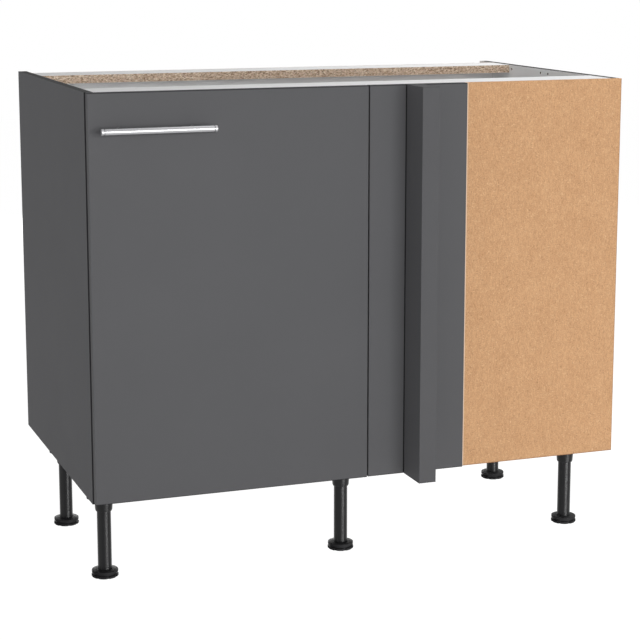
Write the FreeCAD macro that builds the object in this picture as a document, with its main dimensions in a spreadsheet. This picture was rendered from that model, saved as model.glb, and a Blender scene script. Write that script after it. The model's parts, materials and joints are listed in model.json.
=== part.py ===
"""Corner base cabinet with a blind panel: carcass, front, door on cup hinges, adjustable legs.

Frame: X to the right, Y to the back, Z up. The origin is on the floor, in the middle of the
footprint. Positions in the code are given from the lower left front corner of the carcass
(x to the right, y to the back, z up) and are moved to the origin by place().
"""
import FreeCAD, Part
import Sketcher
import os
import re

# Driving dimensions in millimetres. Each one becomes a named cell of the sheet.
SIZES = {
    # carcass
    "width": 1000, "depth": 566, "height": 706, "board": 16,
    "rail_width": 80, "back_inset": 60, "back_board": 3, "groove_depth": 6, "fit_play": 0.1,
    "stile_cover": 7, "stile_depth": 100,
    # front
    "door_left": 2, "door_width": 497, "door_board": 16, "door_gap": 2, "front_lift": 3,
    "front_joint": 3, "filler_width": 186, "filler_board": 16, "edge_round": 0.8,
    "post_offset": 69, "post_width": 32, "post_reach": 72, "blind_board": 10,
    # shelf
    "shelf_front": 110, "shelf_board": 16, "shelf_play": 1.5, "row_front": 147, "row_back": 463,
    "row_start": 256, "row_pitch": 32, "row_count": 7, "row_used": 3, "pin_radius": 2.5,
    "pin_hole_depth": 10, "pin_nose": 9, "chamfer": 1,
    # board joints
    "dowel_radius": 4, "dowel_in_face": 11, "dowel_in_end": 22, "bolt_radius": 2.5,
    "bolt_neck": 3, "cam_radius": 7.5, "cam_height": 12, "cam_reach": 24,
    "cross_half": 4.5, "cross_slot": 0.8, "cross_depth": 1.5,
    "bottom_dowel_front": 22, "bottom_dowel_back": 480, "bottom_cam_front": 41,
    "bottom_cam_back": 335, "rail_dowel": 20, "rail_cam": 57, "stile_dowel": 25,
    "stile_dowel_step": 45, "system_first": 252, "system_pitch": 32, "system_last": 412,
    "worktop_hole": 2.5, "worktop_hole_inset": 100,
    # fixing angles behind the filler strip and the blind panel, screws of the corner post
    "angle_leg": 25, "angle_sheet": 2, "angle_width": 20, "angle_hole": 2, "angle_hole_out": 15,
    "angle_screw_length": 8, "angle_screw_head": 3.8, "filler_angle": 46, "blind_angle": 60,
    "post_screw_radius": 2, "post_screw_length": 50, "post_screw_head": 4, "post_screw_inset": 90,
    "head_share": 0.6,
    # legs
    "leg_height": 164, "leg_side": 41.5, "leg_stile_shift": 8.5, "leg_front": 96.5, "leg_back": 417.5,
    "flange_radius": 30, "flange_sheet": 4, "collar_top": 18, "collar_end": 15.3, "collar_drop": 43,
    "collar_taper": 2.5, "tube_radius": 12.5, "tube_bore": 10, "tube_top": 6, "tube_cap": 3,
    "leg_screw_circle": 24, "leg_screw_radius": 2, "leg_screw_length": 11, "leg_screw_head": 3.8,
    "foot_radius": 24, "foot_waist": 20, "foot_rim": 4, "foot_step": 0.8, "foot_upper": 7.5,
    "foot_upper_top": 12, "foot_lip": 0.5, "foot_height": 14, "foot_stem": 70,
    "foot_notch": 5, "foot_notch_depth": 2.2, "foot_notch_count": 8, "running_play": 0.05,
    "glide_radius": 7.5, "glide_height": 5, "glide_chamfer": 1.5, "glide_front": 50,
    "glide_back": 362, "nail_radius": 1, "nail_length": 14, "nail_tip": 2,
    # handle and buffers
    "handle_pitch": 128, "handle_length": 198, "handle_radius": 6, "handle_reach": 30,
    "handle_edge": 50, "handle_drop": 62.5, "handle_chamfer": 0.6, "handle_groove": 0.4,
    "handle_groove_out": 5, "handle_groove_width": 1, "handle_screw": 2, "handle_screw_head": 4,
    "handle_screw_in": 10, "standoff_radius": 4, "standoff_sunk": 3, "standoff_flange": 1,
    "standoff_flange_height": 1.5, "standoff_neck": 3,
    "buffer_radius": 4, "buffer_edge": 9.6, "buffer_inset": 60,
    # cup hinges, measured from the door's hinge edge and from its back face
    "hinge_inset": 100, "cup_radius": 17.5, "cup_depth": 12.5, "cup_setback": 22.5,
    "cup_wall": 0.8, "cup_floor": 1, "cup_flange": 1.2, "cup_flange_half": 28,
    "cup_flange_near": 14, "cup_flange_far": 37, "cup_screw_half": 22.5, "cup_screw_back": 9.5,
    "cup_pivot_in": 11.5, "cup_pivot_deep": 5.5, "cup_axle_out": 4, "lug_drop": 2.5,
    "arm_pivot_in": 32, "arm_pivot_up": 5,
    "knee_in": 18.2, "knee_deep": 8.3, "elbow_in": 29, "elbow_deep": 4.5,
    "link_half": 2, "link_eye": 3.2, "link_half_width": 6.5, "axle_radius": 1.5,
    "arm_play": 0.4, "arm_sheet": 1.2, "arm_nose": 4.2, "arm_corner": 2, "arm_top": 26,
    "arm_foot": 12, "arm_length": 60, "arm_web_start": 10.5, "arm_heel": 3, "arm_step": 6,
    "arm_slope": 9, "arm_screw_in": 46,
    "plate_sheet": 2, "plate_half": 24, "plate_front": 26, "plate_back": 50, "block_end": 56,
    "plate_screw_half": 16, "plate_screw_in": 37,
    "hinge_screw_radius": 2, "hinge_screw_head": 3.8, "hinge_screw_length": 11, "cut_over": 1,
}

doc = FreeCAD.newDocument("CornerBaseCabinet")
sheet = doc.addObject("Spreadsheet::Sheet", "Sizes")
for row, (alias, number) in enumerate(SIZES.items(), start=1):
    sheet.set("A%d" % row, alias)
    sheet.set("B%d" % row, str(number))
    sheet.setAlias("B%d" % row, alias)
doc.recompute()

# Places that many pieces share.
DOOR_RIGHT = "(door_left + door_width)"
DOOR_BACK = "(-door_gap)"
DOOR_FACE = "(-door_gap - door_board)"
FILLER_LEFT = "(door_left + door_width + front_joint)"
FILLER_RIGHT = "(door_left + door_width + front_joint + filler_width)"
POST_LEFT = "(door_left + door_width + front_joint + post_offset)"
POST_MIDDLE = "(door_left + door_width + front_joint + post_offset + post_width / 2)"
STILE_LEFT = "(door_left + door_width - stile_cover)"
STILE_MIDDLE = "(door_left + door_width - stile_cover + board / 2)"
BACK_FACE = "(depth - back_inset - back_board)"
RAIL_BOTTOM = "(height - board)"
SHELF_HOLE = "(row_start + row_used * row_pitch)"
LOW = "(board / 2)"
HIGH = "(height - board / 2)"
INSIDE = ("board", "width - board")
FRONT_HEIGHT = ("front_lift", "height")
# The two ends of a board between the sides: face, way into the board, way into the side.
ENDS = [("board", "+X", "-X"), ("(width - board)", "-X", "+X")]
# Joint holes in the sides, as (y, z).
DOWEL_SPOTS = [("bottom_dowel_front", LOW), ("bottom_dowel_back", LOW), ("rail_dowel", HIGH),
               ("(%s - rail_dowel)" % BACK_FACE, HIGH)]
CAM_SPOTS = [("bottom_cam_front", LOW), ("bottom_cam_back", LOW), ("rail_cam", HIGH),
             ("(%s - rail_cam)" % BACK_FACE, HIGH)]
STILE_DOWELS = ("stile_dowel", "(stile_dowel + stile_dowel_step)")
# Depths of the dowel holes in the face of a board and in its end.
FACE_HOLE = "dowel_in_face + fit_play"
END_HOLE = "dowel_in_end + fit_play"
# Fixing angles: name, x, face of the bottom or the rail, and 1 upward or -1 downward.
ANGLES = [("filler_bottom", FILLER_LEFT + " + filler_angle", "board", "1"),
          ("filler_top", FILLER_LEFT + " + filler_angle", RAIL_BOTTOM, "-1"),
          ("blind_left_bottom", FILLER_RIGHT + " + blind_angle", "board", "1"),
          ("blind_left_top", FILLER_RIGHT + " + blind_angle", RAIL_BOTTOM, "-1"),
          ("blind_right_bottom", "(width - blind_angle)", "board", "1"),
          ("blind_right_top", "(width - blind_angle)", RAIL_BOTTOM, "-1")]
LEGS = [("front_left", "leg_side", "leg_front"),
        ("front_middle", "(%s - leg_stile_shift)" % STILE_MIDDLE, "leg_front"),
        ("front_right", "(width - leg_side)", "leg_front"), ("back_left", "leg_side", "leg_back"),
        ("back_right", "(width - leg_side)", "leg_back")]
LEG_SCREW_TURNS = (90, 210, 330)
HINGES = [("lower", "(front_lift + hinge_inset)"), ("upper", "(height - hinge_inset)")]
# Screws as (radius, length, head radius).
POST_SCREW = ("post_screw_radius", "post_screw_length - post_screw_head * head_share - 2 * fit_play",
              "post_screw_head")
ANGLE_SCREW = ("angle_hole", "angle_screw_length", "angle_screw_head")
LEG_SCREW = ("leg_screw_radius", "leg_screw_length + flange_sheet - fit_play", "leg_screw_head")
HANDLE_SCREW = ("handle_screw", "door_board + handle_screw_in", "handle_screw_head")
PLATE_SCREW = ("hinge_screw_radius", "hinge_screw_length + plate_sheet - fit_play", "hinge_screw_head")
HINGE_SCREW = ("hinge_screw_radius", "hinge_screw_length", "hinge_screw_head")

TURNS = {
    "+X": FreeCAD.Rotation(FreeCAD.Vector(0, 1, 0), 90),
    "-X": FreeCAD.Rotation(FreeCAD.Vector(0, 1, 0), -90),
    "+Y": FreeCAD.Rotation(FreeCAD.Vector(1, 0, 0), -90),
    "-Y": FreeCAD.Rotation(FreeCAD.Vector(1, 0, 0), 90),
    "+Z": FreeCAD.Rotation(),
    "-Z": FreeCAD.Rotation(FreeCAD.Vector(1, 0, 0), 180),
}
pieces = []


def bound(text):
    """Turn the names of sizes in an expression into references to the sheet."""
    return re.sub(r"[a-z_]+", lambda m: "Sizes." + m.group() if m.group() in SIZES else m.group(), text)


def bind(obj, prop, text):
    obj.setExpression(prop, bound(text))


def place(obj, spot, axis="+Z"):
    """Put an object at a carcass position, with its own Z along the given axis."""
    obj.Placement = FreeCAD.Placement(FreeCAD.Vector(), TURNS[axis])
    bind(obj, "Placement.Base.x", "(%s) - width / 2" % spot[0])
    bind(obj, "Placement.Base.y", "(%s) - (depth - filler_board - post_reach) / 2" % spot[1])
    bind(obj, "Placement.Base.z", "(%s) + leg_height" % spot[2])
    return obj


def box(name, x, y, z):
    """Board between two limits on each axis."""
    obj = doc.addObject("Part::Box", name)
    for prop, (low, high) in (("Length", x), ("Width", y), ("Height", z)):
        bind(obj, prop, "(%s) - (%s)" % (high, low))
    return place(obj, (x[0], y[0], z[0]))


def around(middle, half):
    """Limits at the same distance on both sides of a place."""
    return ("%s - (%s)" % (middle, half), "%s + (%s)" % (middle, half))


def rod(name, spot, axis, radius, length):
    """Round bar that starts at a point and runs along an axis."""
    obj = doc.addObject("Part::Cylinder", name)
    bind(obj, "Radius", radius)
    bind(obj, "Height", length)
    return place(obj, spot, axis)


def hole(name, spot, axis, radius, length):
    """Round hole with a little play round what goes into it."""
    return rod(name + "_hole", spot, axis, radius + " + fit_play", length)


def cut(name, base, tools):
    holes = doc.addObject("Part::Compound", name + "_cuts")
    holes.Links = tools
    obj = doc.addObject("Part::Cut", name)
    obj.Base = base
    obj.Tool = holes
    return obj


def fuse(name, shapes):
    obj = doc.addObject("Part::MultiFuse", name)
    obj.Shapes = shapes
    return obj


def piece(label, obj):
    """Name an object as a sub-part of the cabinet."""
    obj.Label = label
    pieces.append(obj)


def pieces_alike(label, members):
    """Sub-part that is a group of like pieces."""
    obj = doc.addObject("Part::Compound", label + "_set")
    obj.Links = members
    piece(label, obj)


def outline(body, plane, points):
    """Closed sketch whose corners are bound to expressions."""
    sketch = body.newObject("Sketcher::SketchObject", body.Name + "_outline")
    sketch.AttachmentSupport = ([f for f in body.Origin.OriginFeatures if f.Role == plane][0], [""])
    sketch.MapMode = "FlatFace"
    last = len(points) - 1
    start = FreeCAD.Vector(0, 0, 0)
    for index in range(last + 1):
        end = start + FreeCAD.Vector(1 if index < last / 2 else -1, 0.5 + index, 0)
        sketch.addGeometry(Part.LineSegment(start, end), False)
        start = end
    for index in range(last + 1):
        following = 0 if index == last else index + 1
        sketch.addConstraint(Sketcher.Constraint("Coincident", index, 2, following, 1))
    for index, (across, up) in enumerate(points):
        for kind, text in (("DistanceX", across), ("DistanceY", up)):
            number = sketch.addConstraint(Sketcher.Constraint(kind, -1, 1, index, 1, 1.0))
            bind(sketch, "Constraints[%d]" % number, text)
    doc.recompute()
    return sketch


def turned(name, profile, spot, axis="+Z"):
    """Body of revolution: profile points are (radius, distance along the axis)."""
    body = doc.addObject("PartDesign::Body", name)
    sketch = outline(body, "XZ_Plane", profile)
    turn = body.newObject("PartDesign::Revolution", name + "_turn")
    turn.Profile = sketch
    turn.ReferenceAxis = (sketch, ["V_Axis"])
    turn.Angle = 360
    return place(body, spot, axis)


def padded(name, plane, points, length, spot):
    """Profile in one of the body's own planes, padded evenly to both sides."""
    body = doc.addObject("PartDesign::Body", name)
    sketch = outline(body, plane, points)
    pad = body.newObject("PartDesign::Pad", name + "_pad")
    pad.Profile = sketch
    pad.Midplane = True
    bind(pad, "Length", length)
    return place(body, spot)


def rounded_board(name, x, y, z):
    """Front board with eased edges all round its face."""
    body = doc.addObject("PartDesign::Body", name)
    wide = "(%s) - (%s)" % (x[1], x[0])
    tall = "(%s) - (%s)" % (z[1], z[0])
    sketch = outline(body, "XZ_Plane", [("0", "0"), (wide, "0"), (wide, tall), ("0", tall)])
    pad = body.newObject("PartDesign::Pad", name + "_pad")
    pad.Profile = sketch
    bind(pad, "Length", "(%s) - (%s)" % (y[1], y[0]))
    doc.recompute()
    face = pad.Shape.BoundBox.YMin
    names = []
    for number, edge in enumerate(pad.Shape.Edges, start=1):
        if abs(edge.BoundBox.YMin - face) < 1e-6 and abs(edge.BoundBox.YMax - face) < 1e-6:
            names.append("Edge%d" % number)
    ease = body.newObject("PartDesign::Fillet", name + "_ease")
    ease.Base = (pad, names)
    bind(ease, "Radius", "edge_round")
    return place(body, (x[0], y[1], z[0]))


def screw(name, spot, axis, kind):
    """Screw with a low head; the axis points from the head to the tip."""
    radius, length, head = kind
    rise = "-%s * head_share" % head
    profile = [("0", rise), (head, rise), (head, "0"), (radius, "0"),
               (radius, "%s - %s" % (length, radius)), ("0", length)]
    return turned(name, profile, spot, axis)


# Sides, with the groove for the back, shelf pin rows, system holes, joint holes and glide holes.
def side_panel(label, limits, inner, outward, groove):
    holes = []
    for y in ("row_front", "row_back"):
        for step in range(SIZES["row_count"]):
            spot = (inner, y, "row_start + %d * row_pitch" % step)
            holes.append(rod(label + "_pin_hole", spot, outward, "pin_radius", "pin_hole_depth"))
    for y in ("system_first", "system_first + system_pitch", "system_last"):
        holes.append(rod(label + "_system_hole", (inner, y, HIGH), outward, "pin_radius", "pin_hole_depth"))
    for y, z in DOWEL_SPOTS:
        holes.append(hole(label + "_dowel", (inner, y, z), outward, "dowel_radius", FACE_HOLE))
    for y, z in CAM_SPOTS:
        holes.append(hole(label + "_bolt", (inner, y, z), outward, "bolt_radius", FACE_HOLE))
    for y in ("glide_front", "glide_back"):
        spot = ("(%s + %s) / 2" % limits, y, "0")
        holes.append(hole(label + "_nail", spot, "+Z", "nail_radius", "nail_length + fit_play"))
    groove_depth = ("%s - fit_play" % BACK_FACE, "%s + back_board + fit_play" % BACK_FACE)
    holes.append(box(label + "_groove", groove, groove_depth, ("0", "height")))
    board = box(label + "_board", limits, ("0", "depth"), ("0", "height"))
    piece(label, cut(label + "_cut", board, holes))


side_panel("left_side_panel", ("0", "board"), "board", "-X", ("board - groove_depth", "board"))
side_panel("right_side_panel", ("width - board", "width"), "(width - board)", "+X",
           ("width - board", "width - board + groove_depth"))


# Boards between the sides.
def end_holes(label, dowels, cams):
    """Dowel, bolt and cam holes in both ends of a board that lies between the sides."""
    holes = []
    for x, inward, outward in ENDS:
        for y, z in dowels:
            holes.append(hole(label + "_dowel", (x, y, z), inward, "dowel_radius", END_HOLE))
        for y, z in cams:
            holes.append(hole(label + "_bolt", (x, y, z), inward, "bolt_neck", "cam_reach"))
            drum = ("%s %s cam_reach" % (x, inward[0]), y, "%s - board / 2" % z)
            holes.append(hole(label + "_cam", drum, "+Z", "cam_radius", "cam_height + fit_play"))
    return holes


def angle_pilots(face):
    """Pilot holes of the fixing angles in the bottom panel or the front rail."""
    holes = []
    for name, x, level, way in ANGLES:
        if level == face:
            into = "-Z" if way == "1" else "+Z"
            spot = (x, "angle_hole_out", level)
            holes.append(hole("angle_pilot", spot, into, "angle_hole", "angle_screw_length"))
    return holes


def leg_screw_spot(x, y, z, turn):
    """Place of a leg screw on its circle."""
    return ("%s + leg_screw_circle * cos(%d deg)" % (x, turn),
            "%s + leg_screw_circle * sin(%d deg)" % (y, turn), z)


bottom_holes = end_holes("bottom", DOWEL_SPOTS[:2], CAM_SPOTS[:2]) + angle_pilots("board")
for name, x, y in LEGS:
    for turn in LEG_SCREW_TURNS:
        spot = leg_screw_spot(x, y, "0", turn)
        bottom_holes.append(hole("bottom_leg", spot, "+Z", "leg_screw_radius", "leg_screw_length"))
for y in STILE_DOWELS:
    spot = (STILE_MIDDLE, y, "board")
    bottom_holes.append(hole("bottom_stile", spot, "-Z", "dowel_radius", FACE_HOLE))
bottom_board = box("bottom_board", INSIDE, ("0", BACK_FACE), ("0", "board"))
piece("bottom_panel", cut("bottom_panel_cut", bottom_board, bottom_holes))


def rail(label, start, dowels, cams, more_holes):
    """Top rail lying flat between the sides, with its holes for worktop screws."""
    holes = end_holes(label, dowels, cams) + more_holes
    for x in ("worktop_hole_inset", "width - worktop_hole_inset"):
        spot = (x, "%s + rail_width / 2" % start, RAIL_BOTTOM)
        holes.append(rod(label + "_worktop_hole", spot, "+Z", "worktop_hole", "board"))
    board = box(label + "_board", INSIDE, (start, "%s + rail_width" % start), (RAIL_BOTTOM, "height"))
    piece(label, cut(label + "_cut", board, holes))


stile_top_hole = hole("rail_stile", (STILE_MIDDLE, "stile_dowel", RAIL_BOTTOM), "+Z", "dowel_radius", FACE_HOLE)
rail("front_rail", "0", DOWEL_SPOTS[2:3], CAM_SPOTS[2:3], [stile_top_hole] + angle_pilots(RAIL_BOTTOM))
rail("back_rail", "(%s - rail_width)" % BACK_FACE, DOWEL_SPOTS[3:], CAM_SPOTS[3:], [])

back_limits = ("board - groove_depth + fit_play", "width - board + groove_depth - fit_play")
back_deep = (BACK_FACE, BACK_FACE + " + back_board")
piece("back_panel", box("back_panel_board", back_limits, back_deep, ("0", "height")))

# Middle stile, which carries the hinge plates.
PLATE_SCREWS = [(name, "(%s %s plate_screw_half)" % (z, sign)) for name, z in HINGES for sign in "+-"]
stile_holes = [hole("stile_high", (STILE_MIDDLE, "stile_dowel", RAIL_BOTTOM), "-Z", "dowel_radius", END_HOLE)]
for y in STILE_DOWELS:
    stile_holes.append(hole("stile_low", (STILE_MIDDLE, y, "board"), "+Z", "dowel_radius", END_HOLE))
for name, z in PLATE_SCREWS:
    stile_holes.append(hole("stile_plate", (STILE_LEFT, "plate_screw_in", z), "+X",
                            "hinge_screw_radius", "hinge_screw_length"))
stile_wide = (STILE_LEFT, STILE_LEFT + " + board")
stile_board = box("stile_board", stile_wide, ("0", "stile_depth"), ("board", RAIL_BOTTOM))
piece("mid_stile", cut("mid_stile_cut", stile_board, stile_holes))

# Shelf, lying loose on four pins.
shelf_level = SHELF_HOLE + " + pin_radius"
piece("shelf", box("shelf_plate", ("board + shelf_play", "width - board - shelf_play"),
                   ("shelf_front", BACK_FACE + " - shelf_play"),
                   (shelf_level, shelf_level + " + shelf_board")))
pin_profile = [("0", "-pin_hole_depth + fit_play"), ("pin_radius - fit_play", "-pin_hole_depth + fit_play"),
               ("pin_radius - fit_play", "0"), ("pin_radius", "0"), ("pin_radius", "pin_nose - chamfer"),
               ("pin_radius - chamfer", "pin_nose"), ("0", "pin_nose")]
pieces_alike("shelf_pins", [turned("shelf_pin", pin_profile, (x, y, SHELF_HOLE), inward)
                            for x, inward, outward in ENDS for y in ("row_front", "row_back")])

# Wooden dowels and cam connectors.
dowels = []
bolts = []
cams = []
bolt_profile = [("0", "-dowel_in_face"), ("bolt_radius", "-dowel_in_face"), ("bolt_radius", "0"),
                ("bolt_neck", "0"), ("bolt_neck", "cam_reach - cam_radius / 2"),
                ("0", "cam_reach - cam_radius / 2")]
for x, inward, outward in ENDS:
    for y, z in DOWEL_SPOTS:
        start = ("%s %s dowel_in_face" % (x, outward[0]), y, z)
        dowels.append(rod("dowel", start, inward, "dowel_radius", "dowel_in_face + dowel_in_end"))
    for y, z in CAM_SPOTS:
        bolts.append(turned("cam_bolt", bolt_profile, (x, y, z), inward))
        middle = "%s %s cam_reach" % (x, inward[0])
        under = "%s - board / 2" % z
        drum = rod("cam_drum", (middle, y, under), "+Z", "cam_radius", "cam_height")
        throat = hole("cam_throat", (x, y, z), inward, "bolt_neck", "cam_reach")
        slot_deep = (under, under + " + cross_depth")
        slot = box("cam_slot", around(middle, "cross_half"), around(y, "cross_slot"), slot_deep)
        cams.append(cut("cam_lock", drum, [throat, slot]))
for y in STILE_DOWELS:
    dowels.append(rod("stile_low_dowel", (STILE_MIDDLE, y, "board - dowel_in_face"), "+Z",
                      "dowel_radius", "dowel_in_face + dowel_in_end"))
dowels.append(rod("stile_high_dowel", (STILE_MIDDLE, "stile_dowel", RAIL_BOTTOM + " - dowel_in_end"), "+Z",
                  "dowel_radius", "dowel_in_face + dowel_in_end"))
pieces_alike("wood_dowels", dowels)
pieces_alike("cam_bolts", bolts)
pieces_alike("cam_locks", cams)

# Fixed front: filler strip, corner post, blind panel, their angles and screws.
filler_holes = []
post_holes = []
post_screws = []
for z in ("front_lift + post_screw_inset", "(front_lift + height) / 2", "height - post_screw_inset"):
    spot = (POST_MIDDLE, "0", z)
    filler_holes.append(hole("filler_screw", spot, "-Y", "post_screw_radius", "filler_board"))
    head_deep = "post_screw_head * head_share + fit_play"
    filler_holes.append(hole("filler_head", spot, "-Y", "post_screw_head", head_deep))
    post_holes.append(hole("post_screw", (POST_MIDDLE, "-filler_board", z), "-Y",
                           "post_screw_radius", "post_screw_length - filler_board"))
    seat = (POST_MIDDLE, "-post_screw_head * head_share - fit_play", z)
    post_screws.append(screw("post_screw", seat, "-Y", POST_SCREW))
blind_holes = []
angles = []
angle_screws = []
for name, x, level, way in ANGLES:
    sheet_edge = way + " * angle_sheet"
    leg_edge = way + " * angle_leg"
    angle_profile = [("0", "0"), ("angle_leg", "0"), ("angle_leg", sheet_edge), ("angle_sheet", sheet_edge),
                     ("angle_sheet", leg_edge), ("0", leg_edge)]
    bent = padded("angle_" + name, "YZ_Plane", angle_profile, "angle_width", (x, "0", level))
    out, into = ("+Z", "-Z") if way == "1" else ("-Z", "+Z")
    flat_spot = (x, "angle_hole_out", level)
    front_spot = (x, "0", "%s + %s * angle_hole_out" % (level, way))
    bores = [hole("angle_flat", flat_spot, out, "angle_hole", "angle_sheet"),
             hole("angle_front", front_spot, "+Y", "angle_hole", "angle_sheet")]
    angles.append(cut("angle_cut_" + name, bent, bores))
    flat_seat = (x, "angle_hole_out", "%s + %s" % (level, sheet_edge))
    front_seat = (x, "angle_sheet", front_spot[2])
    angle_screws.append(screw("angle_flat_screw", flat_seat, into, ANGLE_SCREW))
    angle_screws.append(screw("angle_front_screw", front_seat, "-Y", ANGLE_SCREW))
    pilot = hole("front_pilot", front_spot, "-Y", "angle_hole", "angle_screw_length")
    (filler_holes if name.startswith("filler") else blind_holes).append(pilot)
filler_plank = rounded_board("filler_plank", (FILLER_LEFT, FILLER_RIGHT), ("-filler_board", "0"),
                             FRONT_HEIGHT)
piece("filler_strip", cut("filler_strip_cut", filler_plank, filler_holes))
post_plank = rounded_board("post_plank", (POST_LEFT, POST_LEFT + " + post_width"),
                           ("-filler_board - post_reach", "-filler_board"), FRONT_HEIGHT)
piece("corner_post", cut("corner_post_cut", post_plank, post_holes))
blind_plank = box("blind_plank", (FILLER_RIGHT, "width"), ("-blind_board", "0"), FRONT_HEIGHT)
piece("blind_panel", cut("blind_panel_cut", blind_plank, blind_holes))
pieces_alike("post_screws", post_screws)
pieces_alike("fixing_angles", angles)
pieces_alike("angle_screws", angle_screws)

# Legs: socket screwed under the bottom, tube, and a foot that screws in and out of the tube.
foot_top = "-leg_height + foot_height"
socket_profile = [("0", "-flange_sheet"), ("0", "0"), ("flange_radius", "0"),
                  ("flange_radius", "-flange_sheet + chamfer"), ("flange_radius - chamfer", "-flange_sheet"),
                  ("collar_top", "-flange_sheet"), ("collar_end", "-collar_drop + collar_taper"),
                  ("collar_end - chamfer", "-collar_drop"), ("tube_radius + fit_play", "-collar_drop"),
                  ("tube_radius + fit_play", "-flange_sheet")]
tube_profile = [("0", "-tube_top"), ("tube_radius - chamfer", "-tube_top"),
                ("tube_radius", "-tube_top - chamfer"), ("tube_radius", foot_top), ("tube_bore", foot_top),
                ("tube_bore", "-tube_top - tube_cap"), ("0", "-tube_top - tube_cap")]
stem_top = "foot_height + foot_stem"
foot_profile = [("0", "0"), ("foot_radius - chamfer", "0"), ("foot_radius", "chamfer"),
                ("foot_radius", "foot_rim"), ("foot_waist", "foot_rim + foot_step"), ("foot_waist", "foot_upper"),
                ("foot_radius - foot_lip", "foot_upper + foot_step"),
                ("foot_radius - foot_lip", "foot_upper_top"), ("tube_radius + chamfer", "foot_height"),
                ("tube_bore - running_play", "foot_height"), ("tube_bore - running_play", stem_top + " - chamfer"),
                ("tube_bore - running_play - chamfer", stem_top), ("0", stem_top)]


def foot_notches(x, y):
    """Grip notches cut all round the lower rim of a foot."""
    notches = []
    for number in range(SIZES["foot_notch_count"]):
        turn = "(%d / foot_notch_count * 360 deg)" % number
        inner = "(foot_radius - foot_notch_depth)"
        corner = ("%s + %s * cos(%s) + foot_notch / 2 * sin(%s)" % (x, inner, turn, turn),
                  "%s + %s * sin(%s) - foot_notch / 2 * cos(%s)" % (y, inner, turn, turn), "-leg_height")
        notch = doc.addObject("Part::Box", "foot_notch")
        bind(notch, "Length", "foot_notch")
        bind(notch, "Width", "foot_notch")
        bind(notch, "Height", "foot_rim + foot_step")
        place(notch, corner)
        bind(notch, "Placement.Rotation.Angle", turn)
        notches.append(notch)
    return notches


leg_screws = []
for name, x, y in LEGS:
    bores = []
    for turn in LEG_SCREW_TURNS:
        spot = leg_screw_spot(x, y, "-flange_sheet", turn)
        bores.append(hole("socket_bore", spot, "+Z", "leg_screw_radius", "flange_sheet"))
        leg_screws.append(screw("leg_screw", spot, "+Z", LEG_SCREW))
    socket = turned("leg_socket_body_" + name, socket_profile, (x, y, "0"))
    piece("leg_socket_" + name, cut("leg_socket_cut_" + name, socket, bores))
    piece("leg_tube_" + name, turned("leg_tube_body_" + name, tube_profile, (x, y, "0")))
    spool = turned("foot_body_" + name, foot_profile, (x, y, "-leg_height"))
    piece("foot_" + name, cut("foot_cut_" + name, spool, foot_notches(x, y)))
pieces_alike("leg_screws", leg_screws)

glide_profile = [("0", "-glide_height"), ("glide_radius - glide_chamfer", "-glide_height"),
                 ("glide_radius", "-glide_height + glide_chamfer"), ("glide_radius", "0"),
                 ("nail_radius", "0"), ("nail_radius", "nail_length - nail_tip"), ("0", "nail_length")]
pieces_alike("nail_glides", [turned("nail_glide", glide_profile, (x, y, "0"))
                             for x in ("board / 2", "width - board / 2")
                             for y in ("glide_front", "glide_back")])

# Door with its cup bores, handle and buffers.
CUP_MIDDLE = "(door_left + door_width - cup_setback)"
HANDLE_LEVEL = "(height - handle_drop)"
HANDLE_SPOTS = [("left", "door_left + handle_edge"), ("right", "door_left + handle_edge + handle_pitch")]
CUP_SCREWS = [(name, (CUP_MIDDLE + " - cup_screw_back", "%s %s cup_screw_half" % (z, sign)))
              for name, z in HINGES for sign in "+-"]
door_holes = [rod("cup_bore", (CUP_MIDDLE, DOOR_BACK, z), "-Y", "cup_radius", "cup_depth")
              for name, z in HINGES]
for name, (x, z) in CUP_SCREWS:
    door_holes.append(hole("cup_screw", (x, DOOR_BACK, z), "-Y", "hinge_screw_radius", "hinge_screw_length"))
for side, x in HANDLE_SPOTS:
    door_holes.append(hole("handle_screw", (x, DOOR_BACK, HANDLE_LEVEL), "-Y", "handle_screw", "door_board"))
door_plank = rounded_board("door_plank", ("door_left", DOOR_RIGHT), (DOOR_FACE, DOOR_BACK), FRONT_HEIGHT)
piece("door_panel", cut("door_panel_cut", door_plank, door_holes))

groove_far = "handle_length - handle_groove_out"
bar_profile = [("0", "0"), ("handle_radius - handle_chamfer", "0"), ("handle_radius", "handle_chamfer"),
               ("handle_radius", "handle_groove_out"), ("handle_radius - handle_groove", "handle_groove_out"),
               ("handle_radius - handle_groove", "handle_groove_out + handle_groove_width"),
               ("handle_radius", "handle_groove_out + handle_groove_width"),
               ("handle_radius", groove_far + " - handle_groove_width"),
               ("handle_radius - handle_groove", groove_far + " - handle_groove_width"),
               ("handle_radius - handle_groove", groove_far), ("handle_radius", groove_far),
               ("handle_radius", "handle_length - handle_chamfer"),
               ("handle_radius - handle_chamfer", "handle_length"), ("0", "handle_length")]
bar_start = ("door_left + handle_edge - (handle_length - handle_pitch) / 2",
             "-door_gap - door_board - handle_reach", HANDLE_LEVEL)
standoff_length = "handle_reach - handle_radius + standoff_sunk"
standoff_profile = [("0", "0"), ("standoff_radius + standoff_flange", "0"),
                    ("standoff_radius + standoff_flange", "standoff_flange_height"),
                    ("standoff_radius", "standoff_neck"), ("standoff_radius", standoff_length),
                    ("0", standoff_length)]
sockets = []
handle_screws = []
for side, x in HANDLE_SPOTS:
    spot = (x, DOOR_FACE, HANDLE_LEVEL)
    sockets.append(hole("bar_socket", spot, "-Y", "standoff_radius", standoff_length + " + fit_play"))
    thread = hole("standoff_thread", spot, "-Y", "handle_screw", "handle_screw_in + fit_play")
    standoff = turned("standoff_body_" + side, standoff_profile, spot, "-Y")
    piece("handle_standoff_" + side, cut("standoff_cut_" + side, standoff, [thread]))
    handle_screws.append(screw("handle_screw", (x, DOOR_BACK, HANDLE_LEVEL), "-Y", HANDLE_SCREW))
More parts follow.
